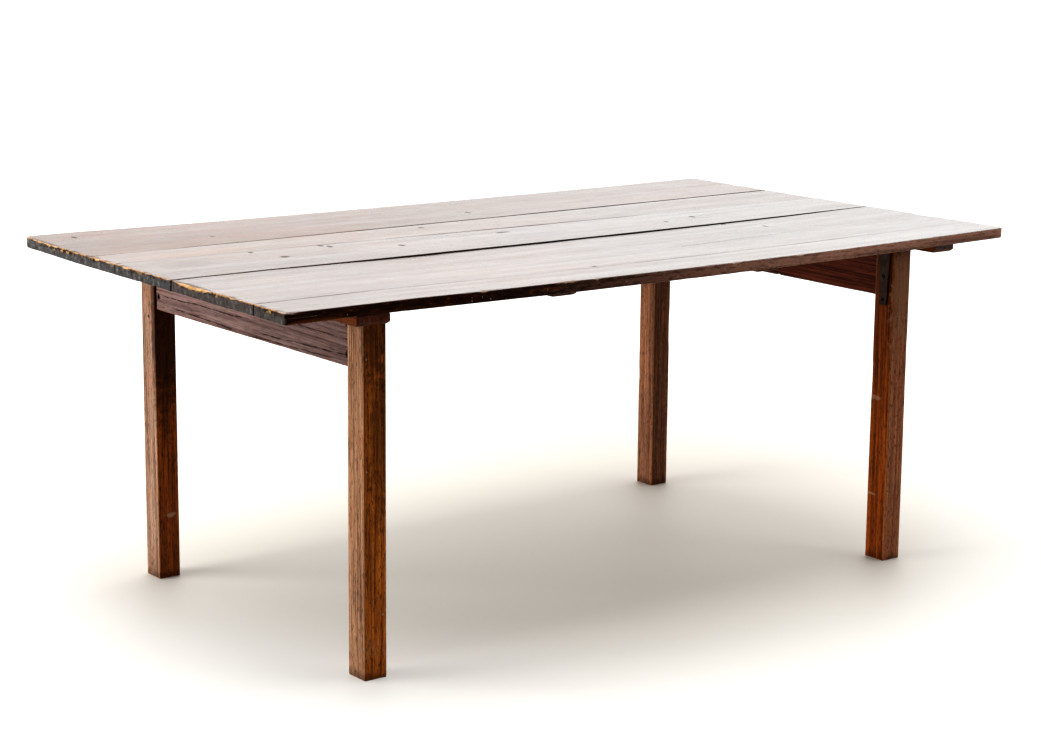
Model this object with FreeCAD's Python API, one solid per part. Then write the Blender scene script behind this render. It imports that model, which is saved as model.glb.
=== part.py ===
import FreeCAD, Part
import math
import os

# Farmhouse table: loose planks on cross battens, carried by two leg frames.
# Millimetres. The origin is on the floor under the middle of the top.
# X runs along the table, Y across it towards the back, Z up.

# Top
table_height = 760.0
top_length = 1884.0
top_width = 1070.0
plank_thickness = 22.5
corner_radius = 12.0
arris_radius = 2.5

# Joints between planks, from back to front, at the left and at the right end, from the middle of the top.
# The front plank has a width of its own, and the planks beside it and at the back fill what is left.
back_joint_left = 226.0
back_joint_right = 256.0
inner_joint_left = 120.0
inner_joint_right = 70.0
open_joint_left = -112.0
open_joint_right = -106.0
front_plank_width = 112.0
back_gap_right = 7.0
open_gap = 7.0

# Cross battens
batten_width = 60.0
left_end_batten_width = 74.0
batten_thickness = 20.0
left_end_batten_setback = 2.0
right_end_batten_setback = 22.0
middle_batten_setback = 66.0
batten_nose_length = 7.0
batten_nose_lip = 12.0
middle_batten_spread = 548.0
batten_arris = 1.5
batten_worn_arris = 6.5

# Leg frames
frame_shift = 13.25
end_overhang = 212.25
side_overhang = 94.0
leg_width = 50.5
leg_depth = 57.0
leg_arris = 2.0

# End aprons
apron_thickness = 25.0
apron_height = 131.0
apron_setback = 6.0
apron_arris = 1.5
tenon_thickness = 12.0
tenon_length = 30.0
tenon_top_shoulder = 20.0
tenon_bottom_shoulder = 10.0
tenon_clearance = 0.2
mortise_end_room = 0.8

# Iron angle brackets
bracket_arm = 146.0
bracket_thickness = 5.0
bracket_root_width = 42.0
bracket_tip_width = 20.0
bracket_flare = 18.0
bracket_neck_width = 36.0
bracket_near_hole = 80.0
bracket_far_hole = 134.0
bracket_bend_radius = 4.0

# Screws and nails
screw_shank = 4.5
screw_head = 9.0
screw_head_height = 2.6
screw_slot_width = 1.0
screw_slot_depth = 1.0
screw_top_cover = 5.0
screw_tenon_cover = 2.0
screw_edge_distance = 28.0
screw_pair_spacing = 60.0
screw_nose_room = 8.0
fastener_clearance = 0.1
nail_shank = 3.2
nail_head = 8.0
nail_head_height = 1.6
nail_length = 55.0
nail_slant = 28.0
nail_inset = 9.0
nail_low_height = 26.5
nail_high_height = 84.5

# Levels and positions that follow from the sizes above
underside = table_height - plank_thickness
left_end = -top_length / 2
right_end = top_length / 2
front_edge = -top_width / 2
back_edge = top_width / 2
front_joint = front_edge + front_plank_width
frame_spread = top_length - 2 * end_overhang
frame_width = top_width - 2 * side_overhang
frame_left = frame_shift - frame_spread / 2
frame_right = frame_shift + frame_spread / 2
frame_front = -frame_width / 2
frame_back = frame_width / 2
batten_bottom = underside - batten_thickness
apron_bottom = underside - apron_height
tenon_depth_in_leg = leg_width - apron_setback - (apron_thickness + tenon_thickness) / 2
batten_screw_length = batten_thickness + plank_thickness - screw_top_cover
bracket_top_screw_length = bracket_thickness + plank_thickness - screw_top_cover
bracket_leg_screw_length = bracket_thickness + tenon_depth_in_leg - tenon_clearance - screw_tenon_cover

# How near two places count as the same one
same = 0.01

UP = FreeCAD.Vector(0, 0, 1)
DOWN = FreeCAD.Vector(0, 0, -1)


def vector(x, y, z):
    return FreeCAD.Vector(x, y, z)


def save(name, shape):
    """Write one piece, or one group of like fasteners, to its own file."""
    shape.exportStep("parts/" + name + ".step")


def block(x_low, x_high, y_low, y_high, z_low, z_high):
    """A box between two opposite corners."""
    return Part.makeBox(x_high - x_low, y_high - y_low, z_high - z_low, vector(x_low, y_low, z_low))


def prism(points, direction):
    """A flat outline pushed along a direction."""
    outline = Part.makePolygon(points + [points[0]])
    return Part.Face(outline).extrude(direction)


def round_edges(solid, radius, wanted):
    """Round the edges of a solid that a test picks."""
    chosen = [edge for edge in solid.Edges if wanted(edge)]
    return solid.makeFillet(radius, chosen)


def is_upright(edge):
    """True for an edge that runs straight up."""
    run = edge.Vertexes[-1].Point - edge.Vertexes[0].Point
    return abs(run.x) < same and abs(run.y) < same and abs(run.z) > same


def is_level_at(edge, height):
    """True for an edge that lies level at a height."""
    return all(abs(vertex.Z - height) < same for vertex in edge.Vertexes)


def screw(length):
    """A slotted countersunk screw that stands head down, its head face at the origin."""
    head = Part.makeCone(screw_head / 2, screw_shank / 2, screw_head_height)
    point_length = screw_shank
    shank_length = length - screw_head_height - point_length
    shank = Part.makeCylinder(screw_shank / 2, shank_length, vector(0, 0, screw_head_height))
    point_start = vector(0, 0, length - point_length)
    point = Part.makeCone(screw_shank / 2, 0, point_length, point_start)
    slot = block(-screw_head, screw_head, -screw_slot_width / 2, screw_slot_width / 2, 0, screw_slot_depth)
    return head.fuse([shank, point]).removeSplitter().cut(slot)


def screw_hole(length):
    """The room that such a screw takes: its seat for the head and a bore for the shank."""
    seat = Part.makeCone(screw_head / 2, screw_shank / 2, screw_head_height)
    bore = Part.makeCylinder(screw_shank / 2 + fastener_clearance, length + fastener_clearance)
    return seat.fuse(bore)


def nail(clearance):
    """A nail that stands head down, its head face at the origin, grown by a clearance."""
    head = Part.makeCylinder(nail_head / 2 + clearance, nail_head_height)
    shank = Part.makeCylinder(nail_shank / 2 + clearance, nail_length + clearance)
    return head.fuse(shank)


def placed(shape, position, direction):
    """A copy of a shape that stands along +Z, moved to a place and turned along a direction."""
    copy = shape.copy()
    copy.Placement = FreeCAD.Placement(position, FreeCAD.Rotation(UP, direction))
    return copy


def joint_line(at_left, at_right):
    """A straight joint between planks, as the place across the table at a place along it."""
    slope = (at_right - at_left) / top_length
    return lambda x: at_left + (x - left_end) * slope


# Planks: each lies between a front line and a back line
back_joint = joint_line(back_joint_left, back_joint_right)
back_gap_edge = joint_line(back_joint_left, back_joint_right - back_gap_right)
inner_joint = joint_line(inner_joint_left, inner_joint_right)
open_joint_back = joint_line(open_joint_left + open_gap / 2, open_joint_right + open_gap / 2)
open_joint_front = joint_line(open_joint_left - open_gap / 2, open_joint_right - open_gap / 2)
front_tight_joint = joint_line(front_joint, front_joint)

plank_lines = {
    "plank_back": (back_joint, joint_line(back_edge, back_edge)),
    "plank_back_inner": (inner_joint, back_gap_edge),
    "plank_middle": (open_joint_back, inner_joint),
    "plank_front_inner": (front_tight_joint, open_joint_front),
    "plank_front": (joint_line(front_edge, front_edge), front_tight_joint),
}


def make_plank(front_line, back_line):
    """A plank with worn corners at the ends of the top and rounded upper edges."""
    outline = [
        vector(left_end, front_line(left_end), underside),
        vector(right_end, front_line(right_end), underside),
        vector(right_end, back_line(right_end), underside),
        vector(left_end, back_line(left_end), underside),
    ]
    plank = prism(outline, UP * plank_thickness)

    def is_outer_corner(edge):
        place = edge.Vertexes[0].Y
        return is_upright(edge) and (abs(place - front_edge) < same or abs(place - back_edge) < same)

    if any(is_outer_corner(edge) for edge in plank.Edges):
        plank = round_edges(plank, corner_radius, is_outer_corner)
    return round_edges(plank, arris_radius, lambda edge: is_level_at(edge, table_height))


def make_batten(centre, width, setback):
    """A cross batten with rounded lower ends and a lower right edge that is worn round."""
    front = front_edge + setback
    back = back_edge - setback
    low_x = centre - width / 2
    high_x = centre + width / 2
    lip = underside - batten_nose_lip
    bulge = math.sqrt(0.5)
    nose_drop = batten_thickness - batten_nose_lip

    def nose(tip, inward):
        middle_y = tip + inward * batten_nose_length * (1 - bulge)
        middle_z = lip - nose_drop * bulge
        foot = vector(low_x, tip + inward * batten_nose_length, batten_bottom)
        return Part.Arc(vector(low_x, tip, lip), vector(low_x, middle_y, middle_z), foot).toShape(), foot

    front_nose, front_foot = nose(front, 1)
    back_nose, back_foot = nose(back, -1)
    side = Part.Wire(Part.sortEdges([
        Part.makeLine(vector(low_x, front, underside), vector(low_x, front, lip)),
        front_nose,
        Part.makeLine(front_foot, back_foot),
        back_nose,
        Part.makeLine(vector(low_x, back, lip), vector(low_x, back, underside)),
        Part.makeLine(vector(low_x, back, underside), vector(low_x, front, underside)),
    ])[0])
    batten = Part.Face(side).extrude(vector(width, 0, 0))

    def is_long_lower_edge(edge, place):
        return is_level_at(edge, batten_bottom) and all(abs(vertex.X - place) < same for vertex in edge.Vertexes)

    batten = round_edges(batten, batten_arris, lambda edge: is_long_lower_edge(edge, low_x))
    return round_edges(batten, batten_worn_arris, lambda edge: is_long_lower_edge(edge, high_x))


# Battens, from left to right: centre along the table, width and setback from the long edges
middle_batten_offset = middle_batten_spread / 2
battens = {
    "batten_left_end": (frame_left - left_end_batten_width / 2, left_end_batten_width, left_end_batten_setback),
    "batten_left_middle": (frame_shift - middle_batten_offset, batten_width, middle_batten_setback),
    "batten_right_middle": (frame_shift + middle_batten_offset, batten_width, middle_batten_setback),
    "batten_right_end": (frame_right + batten_width / 2, batten_width, right_end_batten_setback),
}


def batten_screw_places(centre, setback):
    """Where screws go up through a batten: two to each plank that is wide enough, or one."""
    reach = batten_nose_length + screw_nose_room
    lowest = front_edge + setback + reach
    highest = back_edge - setback - reach
    places = []
    for front_line, back_line in plank_lines.values():
        low = max(front_line(centre) + screw_edge_distance, lowest)
        high = min(back_line(centre) - screw_edge_distance, highest)
        if high - low >= screw_pair_spacing:
            places += [low, high]
        elif high >= low:
            places.append((low + high) / 2)
    return places


def inward_of(side):
    """The direction along X from a leg frame to the middle of the table: side is -1 or 1."""
    return vector(-side, 0, 0)


def frame_outer(side):
    """The outer face of a leg frame."""
    return frame_right if side > 0 else frame_left


def make_leg(side, row):
    """A square leg. side is -1 left or 1 right, row is -1 front or 1 back."""
    outer = frame_outer(side)
    inner = outer - side * leg_width
    face = frame_back if row > 0 else frame_front
    hidden = face - row * leg_depth
    leg = block(min(outer, inner), max(outer, inner), min(face, hidden), max(face, hidden), 0, underside)
    return round_edges(leg, leg_arris, is_upright)


def apron_span(side):
    """The low and high X faces of an apron."""
    outer = frame_outer(side) - side * apron_setback
    inner = outer - side * apron_thickness
    return min(outer, inner), max(outer, inner)


def make_tenons(side, clearance, end_room):
    """Both tenons of an apron, grown by a clearance to cut the mortises."""
    low_x, high_x = apron_span(side)
    middle = (low_x + high_x) / 2
    half = tenon_thickness / 2 + clearance
    low = apron_bottom + tenon_bottom_shoulder - clearance
    high = underside - tenon_top_shoulder + clearance
    shoulder = frame_width / 2 - leg_depth
    tip = shoulder + tenon_length + end_room
    return [
        block(middle - half, middle + half, -tip, -shoulder, low, high),
        block(middle - half, middle + half, shoulder, tip, low, high),
    ]


def make_apron(side):
    """An apron between two legs, with its tenons."""
    low_x, high_x = apron_span(side)
    shoulder = frame_width / 2 - leg_depth
    board = block(low_x, high_x, -shoulder, shoulder, apron_bottom, underside)

    def is_long_lower_edge(edge):
        return is_level_at(edge, apron_bottom) and edge.Length > apron_thickness + same

    board = round_edges(board, apron_arris, is_long_lower_edge)
    return board.fuse(make_tenons(side, 0, 0)).removeSplitter()


def apron_nail_places(side):
    """Place and direction of the slanted nails at both ends of an apron."""
    outer = frame_outer(side) - side * apron_setback
    shoulder = frame_width / 2 - leg_depth
    slant = math.radians(nail_slant)
    places = []
    for row in (-1, 1):
        direction = vector(-side * math.sin(slant), row * math.cos(slant), 0)
        for height in (nail_low_height, nail_high_height):
            start = vector(outer, row * (shoulder - nail_inset), apron_bottom + height)
            places.append((start, direction))
    return places


def nails_for(side, clearance):
    """The slanted nails of an apron. Each head is dressed flush with the apron face."""
    outer = frame_outer(side) - side * apron_setback
    inner = outer - side * (apron_thickness + leg_width)
    face_room = block(min(outer, inner), max(outer, inner), frame_front, frame_back, 0, underside)
    shape = nail(clearance)
    return [placed(shape, *place).common(face_room) for place in apron_nail_places(side)]


def bracket_blank(reach):
    """The flat outline of one tapered arm, root at the origin, along +X, broad along Y."""
    root = bracket_root_width / 2
    neck = bracket_neck_width / 2
    tip = bracket_tip_width / 2
    bend_end = bracket_thickness + bracket_bend_radius
    points = [
        vector(0, -root, 0),
        vector(bend_end, -root, 0),
        vector(bend_end + bracket_flare, -neck, 0),
        vector(reach, -tip, 0),
        vector(reach, tip, 0),
        vector(bend_end + bracket_flare, neck, 0),
        vector(bend_end, root, 0),
        vector(0, root, 0),
    ]
    return prism(points, UP * bracket_thickness)


def make_bracket(side, row):
    """An iron angle: one arm down the inner face of a leg, one along under the planks."""
    level = bracket_blank(bracket_arm)
    upright = bracket_blank(bracket_arm)
    upright.rotate(vector(0, 0, 0), vector(0, 1, 0), -90)
    upright.translate(vector(bracket_thickness, 0, 0))
    bracket = level.fuse(upright).removeSplitter()

    def is_bend(edge):
        offsets = [abs(place - bracket_thickness) for v in edge.Vertexes for place in (v.X, v.Z)]
        return max(offsets) < same

    bracket = round_edges(bracket, bracket_bend_radius, is_bend)
    bracket.rotate(vector(0, 0, 0), vector(1, 0, 0), 180)
    if side > 0:
        bracket.rotate(vector(0, 0, 0), UP, 180)
    bracket.translate(bracket_root(side, row))
    return bracket


def bracket_root(side, row):
    """The corner where the inner face of a leg meets the planks."""
    inner = frame_outer(side) - side * leg_width
    middle = row * (frame_width - leg_depth) / 2
    return vector(inner, middle, underside)


def bracket_screw_places(side, row):
    """Place, direction and length of the screws of a bracket."""
    root = bracket_root(side, row)
    inward = inward_of(side)
    places = []
    for distance in (bracket_near_hole, bracket_far_hole):
        leg_start = root + DOWN * distance + inward * bracket_thickness
        places.append((leg_start, inward * -1, bracket_leg_screw_length))
        top_start = root + inward * distance + DOWN * bracket_thickness
        places.append((top_start, UP, bracket_top_screw_length))
    return places


def build():
    """Make every piece, cut the holes that the fasteners need, and write the files."""
    os.makedirs("parts", exist_ok=True)
    planks = {name: make_plank(*lines) for name, lines in plank_lines.items()}
    batten_solids = {name: make_batten(*sizes) for name, sizes in battens.items()}
    sides = {"left": -1, "right": 1}
    rows = {"front": -1, "back": 1}
    corners = {f"{row}_{side}": (sides[side], rows[row]) for side in sides for row in rows}
    legs = {name: make_leg(*place) for name, place in corners.items()}
    aprons = {name: make_apron(side) for name, side in sides.items()}
    brackets = {name: make_bracket(*place) for name, place in corners.items()}
    fasteners = {}

    # Screws up through the battens
    top_holes = []
    for name, (centre, width, setback) in battens.items():
        places = [vector(centre, y, batten_bottom) for y in batten_screw_places(centre, setback)]
        holes = [placed(screw_hole(batten_screw_length), place, UP) for place in places]
        batten_solids[name] = batten_solids[name].cut(holes)
        top_holes += holes
        fasteners["screws_" + name] = [placed(screw(batten_screw_length), place, UP) for place in places]

    # Screws of the brackets
    for name, (side, row) in corners.items():
        holes = []
        screws = []
        for place, direction, length in bracket_screw_places(side, row):
            holes.append(placed(screw_hole(length), place, direction))
            screws.append(placed(screw(length), place, direction))
        brackets[name] = brackets[name].cut(holes)
        legs[name] = legs[name].cut(holes)
        top_holes += holes
        fasteners["screws_bracket_" + name] = screws

    planks = {name: plank.cut(top_holes) for name, plank in planks.items()}

    # Mortises, and slanted nails through the apron ends into the legs
    for name, side in sides.items():
        mortises = make_tenons(side, tenon_clearance, mortise_end_room)
        nail_holes = nails_for(side, fastener_clearance)
        aprons[name] = aprons[name].cut(nail_holes)
        for row_name in rows:
            corner = f"{row_name}_{name}"
            legs[corner] = legs[corner].cut(mortises + nail_holes)
        fasteners["nails_apron_" + name] = nails_for(side, 0)

    groups = {"leg_": legs, "apron_": aprons, "bracket_": brackets, "": {**planks, **batten_solids}}
    for prefix, pieces in groups.items():
        for name, solid in pieces.items():
            save(prefix + name, solid)
    for name, solids in fasteners.items():
        save(name, Part.makeCompound(solids))


build()
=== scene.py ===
import math

import bmesh
import bpy
from mathutils import Matrix, Vector, noise as field


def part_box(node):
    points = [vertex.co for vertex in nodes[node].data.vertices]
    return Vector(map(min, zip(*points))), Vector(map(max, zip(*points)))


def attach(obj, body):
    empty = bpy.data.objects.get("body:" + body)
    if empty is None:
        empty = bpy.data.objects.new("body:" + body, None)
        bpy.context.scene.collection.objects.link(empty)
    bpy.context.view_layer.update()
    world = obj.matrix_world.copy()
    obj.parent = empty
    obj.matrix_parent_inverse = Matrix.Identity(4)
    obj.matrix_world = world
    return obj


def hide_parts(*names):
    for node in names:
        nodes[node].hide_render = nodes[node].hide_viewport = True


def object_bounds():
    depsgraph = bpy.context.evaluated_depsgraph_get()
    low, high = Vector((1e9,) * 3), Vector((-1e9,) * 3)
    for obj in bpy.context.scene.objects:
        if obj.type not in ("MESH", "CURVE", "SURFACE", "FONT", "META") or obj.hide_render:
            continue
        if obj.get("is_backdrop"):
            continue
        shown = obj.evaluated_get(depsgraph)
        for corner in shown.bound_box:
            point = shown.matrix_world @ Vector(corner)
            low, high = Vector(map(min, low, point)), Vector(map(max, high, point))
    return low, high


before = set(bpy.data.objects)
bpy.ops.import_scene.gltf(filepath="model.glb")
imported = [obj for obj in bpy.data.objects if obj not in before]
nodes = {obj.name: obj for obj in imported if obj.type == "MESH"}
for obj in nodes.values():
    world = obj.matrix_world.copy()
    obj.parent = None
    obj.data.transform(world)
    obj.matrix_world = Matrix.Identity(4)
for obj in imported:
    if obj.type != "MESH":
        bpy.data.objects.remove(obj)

# The farmhouse table in metres: X along the table, Y across it towards the back, Z up.
cad_low, cad_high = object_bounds()
X, Y, Z = 0, 1, 2
top_level = 0.76
# How near two places have to be to count as one
touching = 0.0005

# Slices that the blocks are divided into, and how far worn edges are rounded
plank_slice = 0.008
plank_cross_slice = 0.004
plank_depth_slice = 0.0036
leg_slice = 0.005
outer_arris = 0.0019
joint_arris = 0.0010
joint_end_arris = 0.0022
leg_arris = 0.0015
stick_arris = 0.0018
# How deep wear goes before the wood shows bare
plank_bare_depth = 0.0035
stick_bare_depth = 0.006
sharp_angle = math.radians(50)
smooth_angle = math.radians(42)


def tone(red, green, blue):
    """A colour given as it looks on a screen, 0 to 255, as the light that it stands for."""
    def light(value):
        share = value / 255
        return share / 12.92 if share <= 0.04045 else ((share + 0.055) / 1.055) ** 2.4
    return (light(red), light(green), light(blue), 1.0)


def clamp(value):
    return max(0.0, min(1.0, value))


# Modelling helpers

def deselect_all():
    if bpy.context.object and bpy.context.object.mode != "OBJECT":
        bpy.ops.object.mode_set(mode="OBJECT")
    bpy.ops.object.select_all(action="DESELECT")


def make_active(piece):
    deselect_all()
    piece.select_set(True)
    bpy.context.view_layer.objects.active = piece


def sawn_block(name, low, high):
    """A plain block between two corners, with its place in its mesh."""
    deselect_all()
    bpy.ops.mesh.primitive_cube_add(size=1, location=(low + high) / 2)
    piece = bpy.context.object
    piece.name = name
    piece.data.name = name
    piece.scale = high - low
    bpy.ops.object.transform_apply(location=True, rotation=True, scale=True)
    return piece


def open_edit(piece, kind):
    make_active(piece)
    bpy.ops.object.mode_set(mode="EDIT")
    bpy.ops.mesh.select_mode(type=kind)


def close_edit():
    bpy.ops.object.mode_set(mode="OBJECT")


def pick(piece, kind, wanted):
    """Select what a test picks among the verts, edges or faces, and say how many there are."""
    bpy.ops.mesh.select_all(action="DESELECT")
    shape = bmesh.from_edit_mesh(piece.data)
    chosen = [item for item in getattr(shape, kind) if wanted(item)]
    for item in chosen:
        item.select_set(True)
    bmesh.update_edit_mesh(piece.data)
    return len(chosen)


def runs_along(edge, axis):
    run = edge.verts[1].co - edge.verts[0].co
    return abs(run[axis]) > 0.95 * run.length


def slice_block(piece, axis, spacing):
    """Divide a block evenly along an axis. One pass makes at most 100 slices, so a long one takes two."""
    open_edit(piece, "EDGE")
    shape = bmesh.from_edit_mesh(piece.data)
    length = max(edge.calc_length() for edge in shape.edges if runs_along(edge, axis))
    slices = max(2, round(length / spacing))
    first = min(slices, 90)
    second = math.ceil(slices / first)
    for count in (first, second):
        if count > 1:
            pick(piece, "edges", lambda edge: runs_along(edge, axis))
            bpy.ops.mesh.subdivide(number_cuts=count - 1)
    close_edit()


def ease_edges(piece, width, group, wanted=lambda edge: True, segments=2):
    """Round the sharp edges that a test picks, and keep the rounded strip as a vertex group."""
    open_edit(piece, "EDGE")
    pick(piece, "edges", lambda edge: edge.calc_face_angle(0.0) > sharp_angle and wanted(edge))
    bpy.ops.mesh.bevel(offset=width, segments=segments, profile=0.5, affect="EDGES")
    bpy.ops.object.vertex_group_assign_new()
    piece.vertex_groups[-1].name = group
    close_edit()


def cloud(name, size, depth=2, low=None, high=None):
    """A cloudy texture for weathering. With low and high set, only its bright patches stay."""
    texture = bpy.data.textures.new(name, type="CLOUDS")
    texture.noise_scale = size
    texture.noise_depth = depth
    if low is not None:
        texture.use_color_ramp = True
        ramp = texture.color_ramp
        ramp.elements[0].position = low
        ramp.elements[0].color = (0, 0, 0, 1)
        ramp.elements[1].position = high
        ramp.elements[1].color = (1, 1, 1, 1)
    return texture


def change(piece, kind, **settings):
    """Give a piece a modifier with its settings, and apply it."""
    make_active(piece)
    modifier = piece.modifiers.new(kind, kind)
    for name, value in settings.items():
        setattr(modifier, name, value)
    bpy.ops.object.modifier_apply(modifier=modifier.name)


def weather(piece, texture, depth, stretch=(1, 1, 1), group="", middle=0.5, offset=(0, 0, 0)):
    """Push a surface in and out by a texture, drawn out along the grain."""
    ruler = bpy.data.objects.new("grain_ruler", None)
    bpy.context.scene.collection.objects.link(ruler)
    ruler.scale = stretch
    ruler.location = offset
    bpy.context.view_layer.update()
    change(piece, "DISPLACE", texture=texture, texture_coords="OBJECT", texture_coords_object=ruler,
           strength=depth, mid_level=middle, vertex_group=group)
    bpy.data.objects.remove(ruler)


def press(piece, group, direction, depth):
    """Push a weighted patch of a surface along an axis."""
    change(piece, "DISPLACE", direction=direction, vertex_group=group, strength=depth, mid_level=0.0)


def places(piece):
    return [vertex.co.copy() for vertex in piece.data.vertices]


def mark(piece, name, values):
    """Keep one value per vertex for the finish to read."""
    layer = piece.data.attributes.new(name, "FLOAT", "POINT")
    layer.data.foreach_set("value", values)


def groups_of(vertex):
    return {member.group for member in vertex.groups}


def mark_group(piece, name, group):
    index = piece.vertex_groups[group].index
    mark(piece, name, [float(index in groups_of(vertex)) for vertex in piece.data.vertices])


def mark_raw(piece, before, full):
    """Mark where wood has gone since the places noted before. At the full depth it is bare."""
    moved = [(vertex.co - old).length for vertex, old in zip(piece.data.vertices, before)]
    mark(piece, "raw", [min(1.0, length / full) for length in moved])


def cut_away(piece, tool):
    """Take the shape of a tool out of a piece."""
    change(piece, "BOOLEAN", operation="DIFFERENCE", solver="EXACT", object=tool)
    bpy.data.objects.remove(tool)


def split(piece, start, end, opening, depth, into, wander=0.0):
    """Open a crack between two points: widest at its start, closing towards its end."""
    start, end, into = Vector(start), Vector(end), Vector(into)
    length = (end - start).length
    blade = sawn_block("blade", Vector((0, -0.5, -1)), Vector((1, 0.5, 1)))
    slice_block(blade, X, 1 / 60)
    run = (end - start).normalized()
    across = into.cross(run)
    for vertex in blade.data.vertices:
        share, side, down = vertex.co
        drift = wander * field.noise(Vector((share * length * 9, start.x * 7, start.y * 7)))
        drift += 0.25 * wander * field.noise(Vector((share * length * 60, start.y * 5, 1.7)))
        width = opening * max(0.12, 1 - share ** 1.5)
        reach = depth * max(0.25, 1 - share ** 2)
        vertex.co = start + run * share * length + across * (side * width + drift) + into * down * reach
    open_edit(blade, "FACE")
    bpy.ops.mesh.select_all(action="SELECT")
    bpy.ops.mesh.normals_make_consistent(inside=False)
    close_edit()
    cut_away(piece, blade)


def finish_piece(piece, node, material):
    """Smooth a finished piece, give it its finish and let it stand for its solid."""
    make_active(piece)
    bpy.ops.object.shade_smooth_by_angle(angle=smooth_angle)
    piece.data.materials.clear()
    piece.data.materials.append(material)
    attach(piece, "root")
    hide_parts(node)
    return piece


# Node helpers

def feed(node, values):
    """Set the inputs of a node, or link them."""
    for socket, value in values.items():
        if isinstance(value, bpy.types.NodeSocket):
            node.id_data.links.new(value, node.inputs[socket])
        else:
            node.inputs[socket].default_value = value


def add(tree, kind, values=None, **settings):
    """A shader node with its settings and inputs."""
    made = tree.nodes.new("ShaderNode" + kind)
    for name, value in settings.items():
        setattr(made, name, value)
    feed(made, values or {})
    return made


def follow(kind, values, **settings):
    """A shader node that works on other nodes' values, in the same tree as they are."""
    sockets = [value for value in values.values() if isinstance(value, bpy.types.NodeSocket)]
    return add(sockets[0].id_data, kind, values, **settings)


def maths(operation, first, second=0.0, third=0.0):
    return follow("Math", {0: first, 1: second, 2: third}, operation=operation).outputs[0]


def times(first, second):
    return maths("MULTIPLY", first, second)


def less(first, second):
    return maths("SUBTRACT", first, second)


def summed(total, *parts):
    """Add parts to a value. Each part is a value and the share of it that counts."""
    for value, share in parts:
        total = maths("MULTIPLY_ADD", value, share, total)
    return total


def vector_maths(operation, first, second=(0, 0, 0)):
    return follow("VectorMath", {0: first, 1: second}, operation=operation).outputs["Vector"]


def measure(operation, first, second=(0, 0, 0)):
    """A length or a dot product."""
    return follow("VectorMath", {0: first, 1: second}, operation=operation).outputs["Value"]


def scaled(vector, scale):
    return follow("VectorMath", {0: vector, 3: scale}, operation="SCALE").outputs["Vector"]


def parted(vector):
    """A vector's X, Y and Z."""
    return follow("SeparateXYZ", {0: vector}).outputs


def fade(value, low, high, start=0.0, end=1.0):
    """A soft step from start to end while the value goes from low to high."""
    inputs = {"Value": value, "From Min": low, "From Max": high, "To Min": start, "To Max": end}
    return follow("MapRange", inputs, interpolation_type="SMOOTHSTEP").outputs["Result"]


def mix(factor, first, second):
    return follow("Mix", {0: factor, 6: first, 7: second}, data_type="RGBA").outputs[2]


def layered(colour, *layers):
    """Lay shades over a colour. Each layer is a mask, the share of it that counts and a shade."""
    for mask, share, shade in layers:
        colour = mix(times(mask, share), colour, shade)
    return colour


def noise(vector, scale, detail=2.0, rough=0.5):
    inputs = {"Vector": vector, "Scale": scale, "Detail": detail, "Roughness": rough}
    return follow("TexNoise", inputs).outputs["Fac"]


def stretched(vector, scale):
    return vector_maths("MULTIPLY", vector, scale)


def drawn_noise(vector, scale, detail, rough):
    """Noise with a scale of its own along each axis."""
    return noise(stretched(vector, scale), 1.0, detail, rough)


def new_group(name, inputs, outputs):
    """An empty node group with named sockets, what comes into it and the node at its end."""
    group = bpy.data.node_groups.new(name, "ShaderNodeTree")
    for socket, kind in inputs.items():
        group.interface.new_socket(socket, in_out="INPUT", socket_type=kind)
    for socket in outputs:
        group.interface.new_socket(socket, in_out="OUTPUT", socket_type="NodeSocketFloat")
    return group, group.nodes.new("NodeGroupInput").outputs, group.nodes.new("NodeGroupOutput")


def put(group, values):
    """Place a node group in a material and give its outputs."""
    return follow("Group", values, node_tree=group).outputs


VALUE = "NodeSocketFloat"
PLACE = "NodeSocketVector"
CRACK_SIZES = ("Level", "Slope", "Wander", "Width", "From", "To")


def make_wood_grain():
    """Solid timber whose grain runs along X: yearly rings about a heart, streaks, fibres and pores."""
    inputs = {"Vector": PLACE, "Heart": PLACE, "Ring Width": VALUE, "Warp": VALUE}
    outputs = ["Rings", "Streaks", "Fibres", "Dashes", "Pores", "Height"]
    group, start, end = new_group("wood_grain", inputs, outputs)
    place = vector_maths("SUBTRACT", start["Vector"], start["Heart"])
    slow = stretched(place, (0.9, 7.0, 7.0))
    drift = follow("TexNoise", {"Vector": slow, "Scale": 1.0, "Detail": 3.0}).outputs["Color"]
    drift = vector_maths("SUBTRACT", drift, (0.5, 0.5, 0.5))
    warped = vector_maths("ADD", place, scaled(drift, start["Warp"]))
    flat = stretched(warped, (0.0, 1.0, 1.0))
    radius = measure("LENGTH", flat)
    turn = maths("FRACT", maths("DIVIDE", radius, start["Ring Width"]))
    late = fade(turn, 0.25, 0.95)
    early = fade(turn, 0.95, 1.0, 1.0, 0.0)
    rings = times(late, early)
    streaks = drawn_noise(warped, (1.8, 150.0, 150.0), 4.0, 0.6)
    fibres = drawn_noise(warped, (9.0, 620.0, 620.0), 3.0, 0.6)
    dashes = drawn_noise(warped, (80.0, 330.0, 330.0), 2.0, 0.6)
    pores = drawn_noise(warped, (34.0, 1100.0, 1100.0), 1.0, 0.5)
    pores = fade(pores, 0.60, 0.72)
    height = summed(fibres, (rings, -0.35), (pores, -0.9))
    feed(end, dict(zip(outputs, (rings, streaks, fibres, dashes, pores, height))))
    return group


def make_blotches():
    """Large soft patches of stain, hand grease and grime."""
    group, start, end = new_group("blotches", {"Vector": PLACE, "Scale": VALUE}, ["Patches", "Clouds"])
    patches = noise(start["Vector"], start["Scale"], 4.0, 0.6)
    feed(end, {"Patches": fade(patches, 0.35, 0.68)})
    finer = times(start["Scale"], 5.3)
    feed(end, {"Clouds": noise(start["Vector"], finer, 5.0, 0.65)})
    return group


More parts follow.
